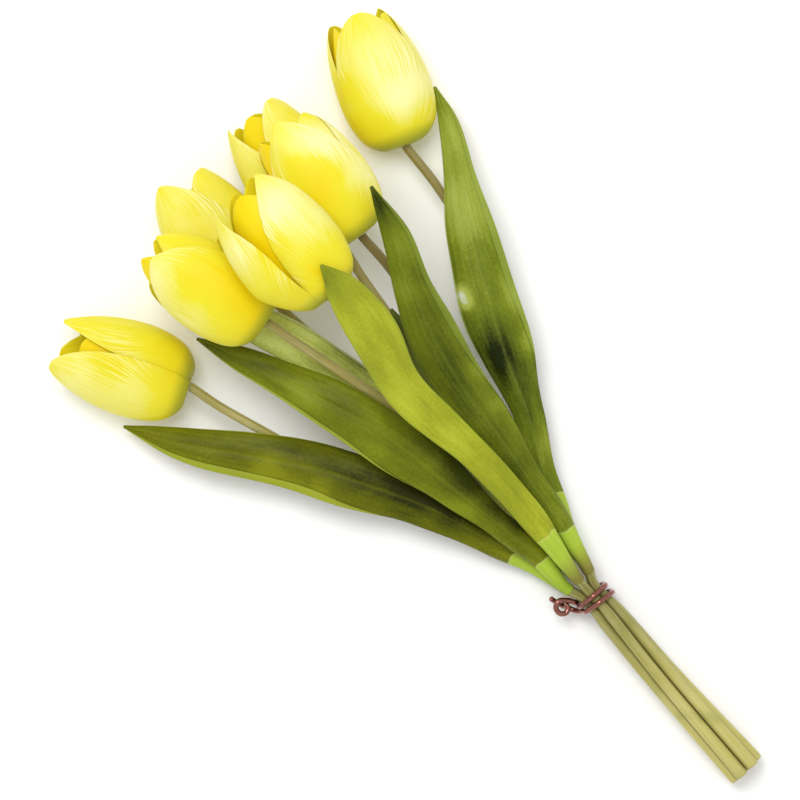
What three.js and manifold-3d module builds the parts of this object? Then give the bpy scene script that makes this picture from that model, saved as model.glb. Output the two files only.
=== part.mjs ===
// A bunch of seven yellow tulips, tied with brown wire and lying on its side.
// Millimetres. +Y runs along the bunch from the cut ends to the flowers and +Z is up.
// The bunch is laid out round its tie, then moved so that the origin lies on the surface
// below the middle of the whole bunch.
import * as THREE from 'three';
import { mergeVertices } from 'three/addons/utils/BufferGeometryUtils.js';
import Module from 'manifold-3d';

const wasm = await Module();
wasm.setup();

const rad = THREE.MathUtils.degToRad;
const lerp = THREE.MathUtils.lerp;
const UP = new THREE.Vector3(0, 0, 1);

// Where the tie stands from the origin.
const TIE_X = -4.68;
const TIE_Y = -76.76;

// The bundle of stems is a ring of six round one, squeezed by the tie and wider elsewhere.
const CUT_Y = -98;
const CUT_RING = { y: CUT_Y, x: -4.2, z: 7.7, pitch: 5.9, turn: 30 };
const LOWER_RING = { y: -45, x: -2.4, z: 8.7, pitch: 5.1, turn: 15 };
const BELOW_TIE_RING = { y: -11, x: -0.3, z: 9.8, pitch: 4.9, turn: 2 };
const TIE_RING_IN = { y: -5, x: 0, z: 10, pitch: 4.4, turn: 0 };
const TIE_RING_OUT = { y: 4, x: 0, z: 10, pitch: 4.4, turn: 0 };
const SHEATH_RING = { y: 10, x: 0.3, z: 10.9, pitch: 7, turn: 0 };

// Stem radius at places along the bunch, from the cut end to the neck below the bloom.
const STEM_STATIONS = [-98, -45, -11, -5, 4, 10, 80, 190];
const STEM_RADII = [2.8, 2.4, 2.3, 2.05, 2.05, 2.1, 2.1, 1.9];
const STEM_SIDES = 7;

// Bloom: an egg of petals, each 0.7 thick. The profile runs from the base out and up to the
// tip, as distance from the axis and height.
const PETAL_THICK = 0.7;
const PETAL_PROFILE = [
  [2.2, 0.6], [8.5, -0.3], [14, 3.2], [17.4, 8.6], [19.4, 17], [19.8, 26], [18.8, 35.5], [16.8, 44],
  [14.2, 51], [11.3, 57.4],
];
const PETAL_HALF_ANGLE = rad(64);
const PETAL_OVERLAP = 0.9;
const INNER_LAYER = 2.7;

// How one petal differs from the next. The layer is its depth under the outer skin, and the
// overlap sets its right edge out and its left edge in. The length is a part of the profile's
// and the point runs from 0, round, to 1, pointed. It leans out by one distance above its base
// and by a further one at its tip.
const PETAL = { layer: 0, overlap: PETAL_OVERLAP, width: 1, length: 1, point: 0.2, out: 0, tip: 0 };
const FRONT_PETAL = { ...PETAL, layer: -PETAL_OVERLAP, overlap: 0 };
const TUCKED_PETAL = { ...PETAL, overlap: 0 };
const INNER_PETAL = { ...PETAL, layer: INNER_LAYER };
const BLOOM_FLATTENING = 0.85;
const OUTER_GRID = [6, 5];
const INNER_GRID = [4, 4];
const RECEPTACLE_RADIUS = 4.3;
const RECEPTACLE_FOOT = -0.9;
const RECEPTACLE_TOP = 5.2;
const FIT_GAP = 0.3;

// Least height of the middle of a petal's thickness, where the surface presses it flat.
const LOWEST_PETAL = 0.25;

// Pistil and stamens.
const PISTIL_LENGTH = 19;
const STIGMA_LOBE = 0.45;
const STAMEN_RING = 3;
const PISTIL_PROFILE = [[0, 0], [4.2, 0], [2, 2], [1.8, 16], [2.2, PISTIL_LENGTH], [0, PISTIL_LENGTH]];
const STAMEN_PROFILE = [[0, 0], [0.5, 0], [0.45, 8], [1, 10], [0, 16]];

// Leaf: a blade that is rolled round the stem at its foot and opens to a shallow channel.
const LEAF_THICK = 0.65;
const LEAF_COLUMNS = 6;
const SHEATH_START = 8.5;
const SHEATH_RADIUS = 2.98;
const SHEATH_WRAP = 5;
const BLADE_WRAP = 0.9;
const UNROLL_LENGTH = 30;
const WAVE_LENGTH = 46;
const WAVE_HEIGHT = 1.1;

// Tie wire.
const WIRE_RADIUS = 1;
const WIRE_SIDES = 6;
const WIRE_LOOP = 7.7;
const WIRE_LOOP_LOBE = 0.25;
const WIRE_LOOP_STEP = 30;

const YELLOW = '#ecd628';
const PISTIL_GREEN = '#b9bd58';
const STEM_GREEN = '#b5ab5c';
const WIRE_BROWN = '#7c543f';

// Each tulip: its slot in the bundle (an angle, or none for the middle stem), the way of its
// stem above the tie, its bloom and its leaf. A heading is measured from +Y toward +X, and a
// leaf's rib gives its middle line with its reach to the left and to the right.
const TULIPS = [
  {
    slot: 210,
    stem: [[-9, 30, 8], [-17, 52, 10.5], [-24, 75, 12], [-33.8, 97, 13.5], [-43.4, 120, 15],
      [-51.3, 146, 16.4], [-57.8, 168, 16.6]],
    bloom: {
      neck: [-61.7, 183.4, 16.5],
      heading: -28.6,
      pitch: 0,
      petals: [
        { ...FRONT_PETAL, turn: -50, point: 0 },
        { ...PETAL, turn: 70, width: 0.94, point: 0.4 },
        { ...TUCKED_PETAL, turn: 190, length: 0.97 },
        { ...INNER_PETAL, turn: 8, length: 0.84 },
        { ...INNER_PETAL, turn: 130, length: 0.9 },
        { ...INNER_PETAL, turn: 250, length: 0.9 },
      ],
    },
    leaf: {
      colour: '#858835',
      wave: 0.3,
      rib: [[-9.2, 30, 11.8, 8.7, 8.7], [-16.6, 52, 15.5, 6.6, 6], [-24, 76, 19.5, 9.6, 8.8],
        [-33.5, 96, 21.5, 11.6, 10.5], [-47, 121, 22, 12, 12.2], [-63, 144, 21, 10, 9.9],
        [-81.5, 169.5, 17, 6.8, 7.4], [-93, 190, 11, 0.5, 0.5]],
    },
  },
  {
    slot: 150,
    stem: [[-4.8, 30, 17], [-4.5, 52, 18.5], [-3.2, 75, 21], [-3, 97, 24.8], [-6.2, 120, 30], [-12, 148, 38],
      [-16, 166, 44.6]],
    bloom: {
      neck: [-18.7, 179.5, 48.9],
      heading: -12.8,
      pitch: 3,
      petals: [
        { ...FRONT_PETAL, turn: -18, width: 1.08, length: 0.92, point: 0.45 },
        { ...PETAL, turn: 100, length: 0.66, point: 0 },
        { ...TUCKED_PETAL, turn: 220, length: 0.86, point: 0 },
        { ...INNER_PETAL, turn: 30, point: 0.7 },
        { ...INNER_PETAL, turn: 160 },
        { ...INNER_PETAL, turn: 318, tip: 1.5 },
      ],
    },
    leaf: {
      colour: '#758022',
      wave: 1.7,
      rib: [[-5, 30, 20.8, 8.7, 8.7], [-7.8, 52, 25.4, 6.1, 6.5], [-11, 74, 29.6, 8.4, 10.6],
        [-13.7, 97, 33.8, 11.6, 12.6], [-18.4, 120, 36.6, 12.6, 11.2], [-27, 147, 35.5, 8.4, 10],
        [-37, 174, 32, 5.3, 6.3], [-44.5, 194.5, 30, 0.5, 0.5]],
    },
  },
  {
    slot: 90,
    stem: [[2.8, 30, 24.2], [4.8, 52, 28], [7, 75, 35.5], [9, 97, 44], [9.4, 120, 54], [8.4, 145, 67.5],
      [8, 157, 72.8]],
    bloom: {
      neck: [8.2, 167.6, 75.8],
      heading: 4.9,
      pitch: 4,
      petals: [
        { ...FRONT_PETAL, turn: 38, width: 0.95, point: 0.65 },
        { ...PETAL, turn: 155 },
        { ...TUCKED_PETAL, turn: 275, point: 0.7, out: 4.7 },
        { ...INNER_PETAL, turn: -22, length: 0.96 },
        { ...INNER_PETAL, turn: 95 },
        { ...INNER_PETAL, turn: 215 },
      ],
    },
    leaf: {
      colour: '#aeb549',
      wave: 0.8,
      rib: [[3, 30, 28.2, 8.7, 8.7], [5.6, 52, 33, 7.1, 6], [6, 75, 41, 7.2, 6.8], [4.4, 97, 50, 8.3, 7.6],
        [4.8, 120, 62, 10.5, 8.1], [8.8, 145, 79, 8.6, 11.8], [12.5, 165, 91, 6.4, 8.6],
        [13.9, 178.4, 96, 0.6, 0.6]],
    },
  },
  {
    slot: 30,
    stem: [[10.6, 30, 17.8], [13.5, 52, 20.6], [17.5, 75, 24.5], [21.5, 97, 30], [26, 120, 36.5],
      [31.4, 145, 43.6], [34, 160, 47.6]],
    bloom: {
      neck: [35, 178.2, 51],
      heading: 7.6,
      pitch: 3,
      petals: [
        { ...FRONT_PETAL, turn: -4, point: 0.6 },
        { ...PETAL, turn: 116, length: 0.9 },
        { ...TUCKED_PETAL, turn: 236, length: 0.94 },
        { ...INNER_PETAL, turn: 56, length: 0.94 },
        { ...INNER_PETAL, turn: 176, length: 0.94 },
        { ...INNER_PETAL, turn: 292, length: 0.94, point: 0, tip: 1.5 },
      ],
    },
    leaf: {
      colour: '#596525',
      wave: 2.4,
      rib: [[11.2, 30, 21.6, 8.7, 8.7], [14.5, 52, 26, 7, 6.2], [18, 75, 31.5, 8.5, 9],
        [20.4, 97, 38.5, 10.5, 11.2], [25.4, 120, 47.5, 11.6, 11], [34, 145, 57.5, 8, 8.8],
        [44, 166, 66.5, 6, 6.4], [51.2, 188, 74, 0.6, 0.6]],
    },
  },
  {
    slot: -30,
    stem: [[11.3, 30, 7.6], [21, 52, 8], [33, 75, 10], [44.5, 97, 11.5], [57.8, 120, 13], [67.6, 146, 15],
      [73, 172, 16.2]],
    bloom: {
      neck: [75.8, 193.3, 15.5],
      heading: 23,
      pitch: 0,
      petals: [
        { ...FRONT_PETAL, turn: 0, point: 0 },
        { ...PETAL, turn: 118 },
        { ...TUCKED_PETAL, turn: 240, point: 0, tip: 1.5 },
        { ...INNER_PETAL, turn: 60, length: 0.95 },
        { ...INNER_PETAL, turn: 180 },
        { ...INNER_PETAL, turn: 300 },
      ],
    },
    leaf: {
      colour: '#4f5a20',
      wave: 0,
      rib: [[11.5, 30, 11.4, 8.7, 8.7], [21.3, 52, 13, 5.6, 5.4], [33.7, 75, 17, 6.6, 7.6],
        [42.8, 97, 21, 10, 12.2], [54.3, 120, 25, 13.2, 13.2], [68, 145, 26, 11, 10.8],
        [81, 166, 23.5, 6.6, 8], [94.6, 187, 16, 4.2, 4.6], [101.6, 202, 9.4, 0.5, 0.5]],
    },
  },
  {
    slot: -90,
    stem: [[2, 30, 4.6], [-3, 52, 6.4], [-7.2, 75, 9], [-8.5, 97, 11.5], [-8, 120, 13.5], [-7.8, 145, 15],
      [-9.5, 167, 16.2]],
    bloom: {
      neck: [-10.7, 193.4, 16.5],
      heading: 4.6,
      pitch: 0,
      petals: [
        { ...FRONT_PETAL, turn: -30, point: 0.3 },
        { ...PETAL, turn: 58, length: 0.92, point: 0 },
        { ...TUCKED_PETAL, turn: 195, length: 0.9 },
        { ...INNER_PETAL, turn: 15, length: 0.86 },
        { ...INNER_PETAL, turn: 135, length: 0.84 },
        { ...INNER_PETAL, turn: 255, length: 0.84 },
      ],
    },
    leaf: {
      colour: '#aab060',
      wave: 2.9,
      rib: [[2, 30, 8.2, 8.7, 8.7], [-3.4, 52, 11.4, 7, 7], [-7, 75, 15.2, 9, 8.5], [-8, 97, 19.4, 9.5, 9.5],
        [-9.6, 120, 22.6, 10, 10], [-13.3, 145, 25.5, 9.5, 10.6], [-18, 166, 28, 8.4, 9.8],
        [-24, 183, 29.4, 6.6, 8], [-33.6, 198, 28.5, 0.6, 0.6]],
    },
  },
  {
    slot: null,
    stem: [[2.4, 30, 12.8], [7.5, 52, 11.2], [11, 75, 12.4], [14, 97, 13.4], [17, 120, 14.6], [20.4, 145, 16],
      [23.8, 167, 16.7]],
    bloom: {
      neck: [29.1, 190.3, 16.5],
      heading: 7,
      pitch: 0,
      petals: [
        { ...FRONT_PETAL, turn: 52, point: 0.1, tip: 2 },
        { ...PETAL, turn: 172 },
        { ...TUCKED_PETAL, turn: 292, point: 0.7 },
        { ...INNER_PETAL, turn: -8 },
        { ...INNER_PETAL, turn: 112 },
        { ...INNER_PETAL, turn: 232 },
      ],
    },
    leaf: {
      colour: '#8d9450',
      wave: 1.2,
      rib: [[2.6, 30, 16, 7.4, 7.4], [8, 52, 15.8, 6.5, 6.5], [11.5, 75, 19.5, 8, 8], [13.6, 97, 21.8, 8, 8],
        [17.4, 120, 23.6, 7, 7], [22.7, 147, 25, 0.6, 0.6]],
    },
  },
];

// Value at x on the broken line through stations and values.
function along(stations, values, x) {
  let i = 1;
  while (i < stations.length - 1 && x > stations[i]) i += 1;
  const f = THREE.MathUtils.clamp((x - stations[i - 1]) / (stations[i] - stations[i - 1]), 0, 1);
  return lerp(values[i - 1], values[i], f);
}

function material(color, roughness, metalness = 0) {
  return new THREE.MeshStandardMaterial({ color, roughness, metalness });
}

function toSolid(geometry) {
  const bare = geometry.clone();
  bare.deleteAttribute('normal');
  bare.deleteAttribute('uv');
  const merged = mergeVertices(bare, 1e-3);
  return new wasm.Manifold(
    new wasm.Mesh({
      numProp: 3,
      vertProperties: new Float32Array(merged.attributes.position.array),
      triVerts: new Uint32Array(merged.index.array),
    }),
  );
}

function toGeometry(solid) {
  const mesh = solid.getMesh();
  const geometry = new THREE.BufferGeometry();
  geometry.setAttribute('position', new THREE.BufferAttribute(mesh.vertProperties, 3));
  geometry.setIndex(new THREE.BufferAttribute(mesh.triVerts, 1));
  geometry.computeVertexNormals();
  return geometry;
}

// What would reach below the surface is cut flat on it.
function restOnSurface(solid) {
  return solid.trimByPlane([0, 0, 1], 0);
}

// A closed sheet on a grid: at(row, column) gives the middle point and the outward normal.
// Both faces are split along the same diagonals.
function sheet(rows, columns, thickness, at) {
  const across = columns + 1;
  const count = (rows + 1) * across;
  const positions = new Float32Array(count * 6);
  for (let row = 0; row <= rows; row += 1) {
    for (let column = 0; column <= columns; column += 1) {
      const { point, normal } = at(row / rows, (2 * column) / columns - 1);
      const k = row * across + column;
      const outer = point.clone().addScaledVector(normal, thickness / 2);
      const inner = point.clone().addScaledVector(normal, -thickness / 2);
      outer.toArray(positions, k * 3);
      inner.toArray(positions, (count + k) * 3);
    }
  }
  const index = [];
  const quad = (a, b, c, d) => index.push(a, b, c, a, c, d);
  for (let row = 0; row < rows; row += 1) {
    for (let column = 0; column < columns; column += 1) {
      const a = row * across + column;
      const b = a + 1;
      const c = b + across;
      const d = a + across;
      quad(a, b, c, d);
      index.push(count + a, count + c, count + b, count + a, count + d, count + c);
    }
  }
  for (let row = 0; row < rows; row += 1) {
    const a = row * across;
    const b = a + columns;
    quad(a + across, count + a + across, count + a, a);
    quad(b, count + b, count + b + across, b + across);
  }
  for (let column = 0; column < columns; column += 1) {
    const top = rows * across + column;
    quad(column, count + column, count + column + 1, column + 1);
    quad(top + 1, count + top + 1, count + top, top);
  }
  const geometry = new THREE.BufferGeometry();
  geometry.setAttribute('position', new THREE.BufferAttribute(positions, 3));
  geometry.setIndex(index);
  geometry.computeVertexNormals();
  return geometry;
}

// A smooth curve whose rings stand at and halfway between the points it is drawn through.
class Route extends THREE.CatmullRomCurve3 {
  constructor(points) {
    super(points, false, 'centripetal');
    this.steps = 2 * (points.length - 1);
  }

  getSpacedPoints(steps) {
    return this.getPoints(steps);
  }

  getTangentAt(t) {
    return this.getTangent(t);
  }
}

// A tube along a route, with the radius of each ring given by its centre.
function taperedTube(route, sides, radiusAt) {
  const ring = [];
  for (let i = 0; i < sides; i += 1) {
    const a = ((i + 0.5) / sides) * 2 * Math.PI;
    ring.push(new THREE.Vector2(Math.cos(a), Math.sin(a)));
  }
  const tube = new THREE.ExtrudeGeometry(new THREE.Shape(ring), {
    steps: route.steps,
    extrudePath: route,
    bevelEnabled: false,
  });
  const centres = route.getSpacedPoints(route.steps);
  const position = tube.attributes.position;
  const vertex = new THREE.Vector3();
  for (let i = 0; i < position.count; i += 1) {
    vertex.fromBufferAttribute(position, i);
    let nearest = centres[0];
    for (const centre of centres) {
      if (centre.distanceToSquared(vertex) < nearest.distanceToSquared(vertex)) nearest = centre;
    }
    vertex.sub(nearest).multiplyScalar(radiusAt(nearest)).add(nearest);
    position.setXYZ(i, vertex.x, vertex.y, vertex.z);
  }
  return tube;
}

// Place of a stem in the bundle at one ring.
function bundlePoint(slot, ring) {
  if (slot === null) return new THREE.Vector3(ring.x, ring.y, ring.z);
  const angle = rad(slot + ring.turn);
  const x = ring.x + ring.pitch * Math.cos(angle);
  const z = ring.z + ring.pitch * Math.sin(angle);
  return new THREE.Vector3(x, ring.y, z);
}

// Axes of a bloom: along it, to its right seen from above, and up through it.
function bloomFrame({ neck, heading, pitch }) {
  const h = rad(heading);
  const p = rad(pitch);
  const axis = new THREE.Vector3(Math.sin(h) * Math.cos(p), Math.cos(h) * Math.cos(p), Math.sin(p));
  const right = new THREE.Vector3(Math.cos(h), -Math.sin(h), 0);
  const up = right.clone().cross(axis);
  return { base: new THREE.Vector3(...neck), axis, right, up };
}

function stemRoute(tulip) {
  const { base, axis } = bloomFrame(tulip.bloom);
  const rings = [CUT_RING, LOWER_RING, BELOW_TIE_RING, TIE_RING_IN, TIE_RING_OUT, SHEATH_RING];
  const points = rings.map((ring) => bundlePoint(tulip.slot, ring));
  tulip.stem.forEach((p) => points.push(new THREE.Vector3(...p)));
  points.push(base.clone().addScaledVector(axis, -2));
  points.push(base.clone().addScaledVector(axis, RECEPTACLE_FOOT - FIT_GAP));
  return new Route(points);
}

function stemGeometry(tulip) {
  const radiusAt = (centre) => along(STEM_STATIONS, STEM_RADII, centre.y);
  return toGeometry(restOnSurface(toSolid(taperedTube(stemRoute(tulip), STEM_SIDES, radiusAt))));
}

const petalLine = new THREE.SplineCurve(PETAL_PROFILE.map(([r, z]) => new THREE.Vector2(r, z)));

// One petal: part of the egg, narrowing to its tip. Where one side edge lies outside the next
// petal of its layer and the other inside, the layer closes without crossing.
function petalGeometry(bloom, petal, [rows, columns]) {
  const { base, axis, right, up } = bloomFrame(bloom);
  const { smoothstep } = THREE.MathUtils;
  const top = petalLine.getPoint(petal.length).y + 0.2;
  const at = (v, u) => {
    const line = petalLine.getPoint(v * petal.length);
    const slope = petalLine.getTangent(v * petal.length);
    const rise = THREE.MathUtils.clamp(line.y / top, 0, 1);
    const narrowing = (1 - rise ** (5 - 1.5 * petal.point) * 0.995) ** (0.5 + 0.5 * petal.point);
    const half = PETAL_HALF_ANGLE * petal.width * Math.max(narrowing, 0.06);
    const shift = petal.overlap * u - petal.layer;
    const lean = petal.out * smoothstep(line.y, 2, 20) + petal.tip * smoothstep(line.y, 28, 58);
    const r = line.x + lean + slope.y * shift;
    const z = line.y - slope.x * shift;
    const phi = rad(petal.turn) + half * u;
    const side = right.clone().multiplyScalar(Math.sin(phi));
    side.addScaledVector(up, Math.cos(phi) * BLOOM_FLATTENING);
    const point = base.clone().addScaledVector(axis, z).addScaledVector(side, r);
    point.z = Math.max(point.z, LOWEST_PETAL);
    const out = right.clone().multiplyScalar(Math.sin(phi) * BLOOM_FLATTENING);
    out.addScaledVector(up, Math.cos(phi)).normalize();
    const normal = out.multiplyScalar(slope.y).addScaledVector(axis, -slope.x).normalize();
    return { point, normal };
  };
  return sheet(rows, columns, PETAL_THICK, at);
}

// Turns a shape made along +Y into a bloom's own axes.
function intoBloom(geometry, bloom) {
  const { base, axis, right, up } = bloomFrame(bloom);
  const matrix = new THREE.Matrix4().makeBasis(right, axis, up).setPosition(base);
  return geometry.applyMatrix4(matrix);
}

function bloomGeometry(bloom) {
  const outline = [
    new THREE.Vector2(0, RECEPTACLE_FOOT),
    new THREE.Vector2(RECEPTACLE_RADIUS * 0.8, RECEPTACLE_FOOT),
    new THREE.Vector2(RECEPTACLE_RADIUS, RECEPTACLE_FOOT + 1.6),
    new THREE.Vector2(RECEPTACLE_RADIUS, RECEPTACLE_TOP),
    new THREE.Vector2(0, RECEPTACLE_TOP),
  ];
  let solid = toSolid(intoBloom(new THREE.LatheGeometry(outline, 8), bloom));
  for (const petal of bloom.petals) {
    const grid = petal.layer < INNER_LAYER ? OUTER_GRID : INNER_GRID;
    solid = solid.add(toSolid(petalGeometry(bloom, petal, grid)));
  }
  return toGeometry(restOnSurface(solid.simplify(0.075)));
}

// Three-lobed pistil with six stamens round it, grown from one small disc.
function pistilGeometry(bloom) {
  const foot = RECEPTACLE_TOP + FIT_GAP;
  const line = PISTIL_PROFILE.map(([r, y]) => new THREE.Vector2(r, foot + y));
  const column = new THREE.LatheGeometry(line, 6);
  const position = column.attributes.position;
  for (let i = 0; i < position.count; i += 1) {
    const x = position.getX(i);
    const z = position.getZ(i);
    const top = position.getY(i) > foot + PISTIL_LENGTH - 1;
    const swell = top ? 1 + STIGMA_LOBE * Math.cos(3 * Math.atan2(x, z)) : 1;
    position.setX(i, x * swell);
    position.setZ(i, z * swell);
  }
  let solid = toSolid(column);
  const stamenLine = STAMEN_PROFILE.map(([r, y]) => new THREE.Vector2(r, y));
  for (let k = 0; k < 6; k += 1) {
    const place = new THREE.Matrix4().makeRotationY(rad(60 * k + 30));
    place.multiply(new THREE.Matrix4().makeTranslation(STAMEN_RING, foot + 0.5, 0));
    place.multiply(new THREE.Matrix4().makeRotationZ(rad(-9)));
    solid = solid.add(toSolid(new THREE.LatheGeometry(stamenLine, 4).applyMatrix4(place)));
  }
  return intoBloom(toGeometry(solid), bloom);
}

// Where a curve that always runs toward +Y passes y.
function pointAtY(curve, y) {
  let low = 0;
  let high = 1;
  for (let i = 0; i < 30; i += 1) {
    const middle = (low + high) / 2;
    if (curve.getPoint(middle).y < y) low = middle;
    else high = middle;
  }
  return curve.getPoint(low);
}

// Middle line of a leaf, on top of its own stem in the sheath and then free, and in step with
// it the reach of the blade to the left and to the right.
function leafRoutes(tulip) {
  const stem = stemRoute(tulip);
  const reach = (SHEATH_RADIUS * (SHEATH_WRAP + BLADE_WRAP)) / 2;
  const points = [];
  const reaches = [];
  for (const y of [SHEATH_START, SHEATH_START + 5, SHEATH_START + 12]) {
    points.push(pointAtY(stem, y).addScaledVector(UP, SHEATH_RADIUS));
    reaches.push(new THREE.Vector3(reach, reach, y));
  }
  for (const [x, y, z, left, right] of tulip.leaf.rib) {
    points.push(new THREE.Vector3(x, y, z));
    reaches.push(new THREE.Vector3(left, right, y));
  }
  return { middle: new Route(points), reach: new Route(reaches) };
}

// The blade is bent to an arc across, wrapped round the stem at the foot and nearly flat above.
function leafGeometry(tulip) {
  const { middle, reach } = leafRoutes(tulip);
  const at = (v, u) => {
    const centre = middle.getPoint(v);
    const forward = middle.getTangent(v);
    const sides = reach.getPoint(v);
    const run = centre.y - SHEATH_START;
    const across = forward.clone().cross(UP).normalize();
    const up = across.clone().cross(forward);
    const wrap = BLADE_WRAP + SHEATH_WRAP * Math.exp(-((run / UNROLL_LENGTH) ** 2));
    const bend = (sides.x + sides.y) / wrap;
    const angle = (u * (u < 0 ? sides.x : sides.y)) / bend;
    const normal = up.clone().multiplyScalar(Math.cos(angle)).addScaledVector(across, Math.sin(angle));
    const point = centre.clone().addScaledVector(up, -bend).addScaledVector(normal, bend);
    const free = THREE.MathUtils.smoothstep(run, 45, 80) * Math.abs(u) ** 1.5;
    const ripple = Math.sin((2 * Math.PI * run) / WAVE_LENGTH + tulip.leaf.wave + (u > 0 ? 1.6 : 0));
    const size = Math.min(1, (sides.x + sides.y) / 20);
    point.addScaledVector(normal, WAVE_HEIGHT * free * ripple * size);
    return { point, normal };
  };
  return sheet(middle.steps, LEAF_COLUMNS, LEAF_THICK, at);
}

// One wire: a straight end, two turns round the stems, and an end curled beside the bundle.
function wireGeometry() {
  const points = [[-13.6, 12.3, 9.2], [-13, 9.2, 7.4], [-11.4, 4.8, 6.4], [-9.6, 1, 7]];
  for (let turned = 0; turned <= 720; turned += WIRE_LOOP_STEP) {
    const angle = rad(180 - turned);
    const r = WIRE_LOOP - WIRE_LOOP_LOBE * (1 + Math.cos(6 * angle));
    const y = along([0, 180, 360, 540, 720], [-1.6, -4.2, 1.4, 0.2, 3.8], turned);
    points.push([r * Math.cos(angle), y, TIE_RING_IN.z + r * Math.sin(angle)]);
  }
  points.push([-9.3, 7, 11], [-12, 9.1, 12.2], [-14.7, 7.9, 12.2], [-15.2, 5, 11.8], [-13.2, 3.3, 11.3]);
  points.push([-10.9, 4.4, 11.1], [-10.9, 6.3, 11.3]);
  const route = new Route(points.map((p) => new THREE.Vector3(...p)));
  return taperedTube(route, WIRE_SIDES, () => WIRE_RADIUS);
}

const group = new THREE.Group();
group.position.set(TIE_X, TIE_Y, 0);

function addMesh(name, geometry, look) {
  const mesh = new THREE.Mesh(geometry, look);
  mesh.name = name;
  group.add(mesh);
}

TULIPS.forEach((tulip, i) => {
  addMesh(`bloom_${i + 1}`, bloomGeometry(tulip.bloom), material(YELLOW, 0.55));
  addMesh(`pistil_${i + 1}`, pistilGeometry(tulip.bloom), material(PISTIL_GREEN, 0.6));
  addMesh(`stem_${i + 1}`, stemGeometry(tulip), material(STEM_GREEN, 0.6));
  addMesh(`leaf_${i + 1}`, leafGeometry(tulip), material(tulip.leaf.colour, 0.5));
});
addMesh('tie_wire', wireGeometry(), material(WIRE_BROWN, 0.3, 0.9));

const bunch = new THREE.Group();
bunch.add(group);
export default bunch;
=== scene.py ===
# A bunch of seven yellow tulips, tied with brown wire and lying on a pale table.
# Lengths are millimetres measured from the tie unless a name says otherwise, with +Y along the
# bunch toward the flowers and +Z up. Every mesh is turned to metres where it is made.
import math

import bpy
import numpy as np
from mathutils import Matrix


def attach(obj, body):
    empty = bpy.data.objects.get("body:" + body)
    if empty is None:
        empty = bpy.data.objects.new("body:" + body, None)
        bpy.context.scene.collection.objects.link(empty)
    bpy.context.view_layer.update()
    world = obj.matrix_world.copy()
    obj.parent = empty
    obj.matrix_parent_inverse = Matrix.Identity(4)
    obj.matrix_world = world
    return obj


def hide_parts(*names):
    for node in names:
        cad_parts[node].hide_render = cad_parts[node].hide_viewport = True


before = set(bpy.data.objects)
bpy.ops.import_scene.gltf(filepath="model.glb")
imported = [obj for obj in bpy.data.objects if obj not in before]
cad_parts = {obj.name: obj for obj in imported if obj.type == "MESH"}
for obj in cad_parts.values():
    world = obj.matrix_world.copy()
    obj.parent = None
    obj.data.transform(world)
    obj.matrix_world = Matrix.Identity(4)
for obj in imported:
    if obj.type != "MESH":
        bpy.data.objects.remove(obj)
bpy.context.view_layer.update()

# Table, light and camera
# The bunch lies on a matt white table top under a broad overhead softbox and a white tent, and a
# long lens looks straight down on it. The picture is turned so that the stems run to the lower right.
MM = 0.001
TIE_AT = np.array([-4.68, -76.76, 0.0])
PICTURE_TURN = math.radians(-44)
PICTURE_CENTRE = TIE_AT + (-1.08, 116.85, 0)
LENS_HEIGHT = 2000.0
PICTURE_WIDTH = 336.0
PICTURE_LEVEL = 25.0
SENSOR_WIDTH = 36.0
LENS_REACH = 20000.0
TABLE_SIZE = 6000.0
TABLE_DROP = 0.05
TABLE_WHITE = "#fbfbfa"
TENT_WHITE = "#ffffff"
TENT_STRENGTH = 0.82
SOFTBOX_AT = (120.0, 430.0, 1150.0)
SOFTBOX_SIZE = 550.0
SOFTBOX_POWER = 7.2


def linear(colour):
    """Turns an sRGB hex colour to linear red, green, blue and alpha."""
    channels = [int(colour[i:i + 2], 16) / 255 for i in (1, 3, 5)]
    return tuple(c / 12.92 if c <= 0.04045 else ((c + 0.055) / 1.055) ** 2.4 for c in channels) + (1.0,)


def add_node(tree, kind, inputs=None, **settings):
    """Adds a node with its settings, and gives each named input a value or a link."""
    node = tree.nodes.new(kind)
    for key, value in settings.items():
        setattr(node, key, value)
    for key, value in (inputs or {}).items():
        if isinstance(value, bpy.types.NodeSocket):
            tree.links.new(value, node.inputs[key])
        else:
            node.inputs[key].default_value = value
    return node


def new_material(name, **surface):
    """Starts a material with one glossy surface shader and its fixed values."""
    material = bpy.data.materials.new(name)
    material.use_nodes = True
    shader = material.node_tree.nodes["Principled BSDF"]
    for key, value in surface.items():
        shader.inputs[key.replace("_", " ")].default_value = value
    return material, material.node_tree, shader


# Matt paper-white board: a fine grit keeps it from looking like a void.
table_paint, tree, shader = new_material("matt_white_board", Roughness=0.9)
grit = add_node(tree, "ShaderNodeTexNoise", {"Scale": 400.0, "Detail": 2.0})
shade = add_node(tree, "ShaderNodeMix", {0: grit.outputs["Fac"], 6: linear(TABLE_WHITE),
                                         7: linear("#ffffff")}, data_type="RGBA")
tree.links.new(shade.outputs[2], shader.inputs["Base Color"])

bpy.ops.mesh.primitive_plane_add(size=TABLE_SIZE * MM, location=(0, 0, -TABLE_DROP * MM))
table = bpy.context.object
table.name = "table_top"
table.data.materials.append(table_paint)

world = bpy.data.worlds.new("white_tent")
world.use_nodes = True
world.node_tree.nodes["Background"].inputs["Color"].default_value = linear(TENT_WHITE)
world.node_tree.nodes["Background"].inputs["Strength"].default_value = TENT_STRENGTH
bpy.context.scene.world = world
bpy.context.scene.view_settings.view_transform = "Standard"

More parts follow.
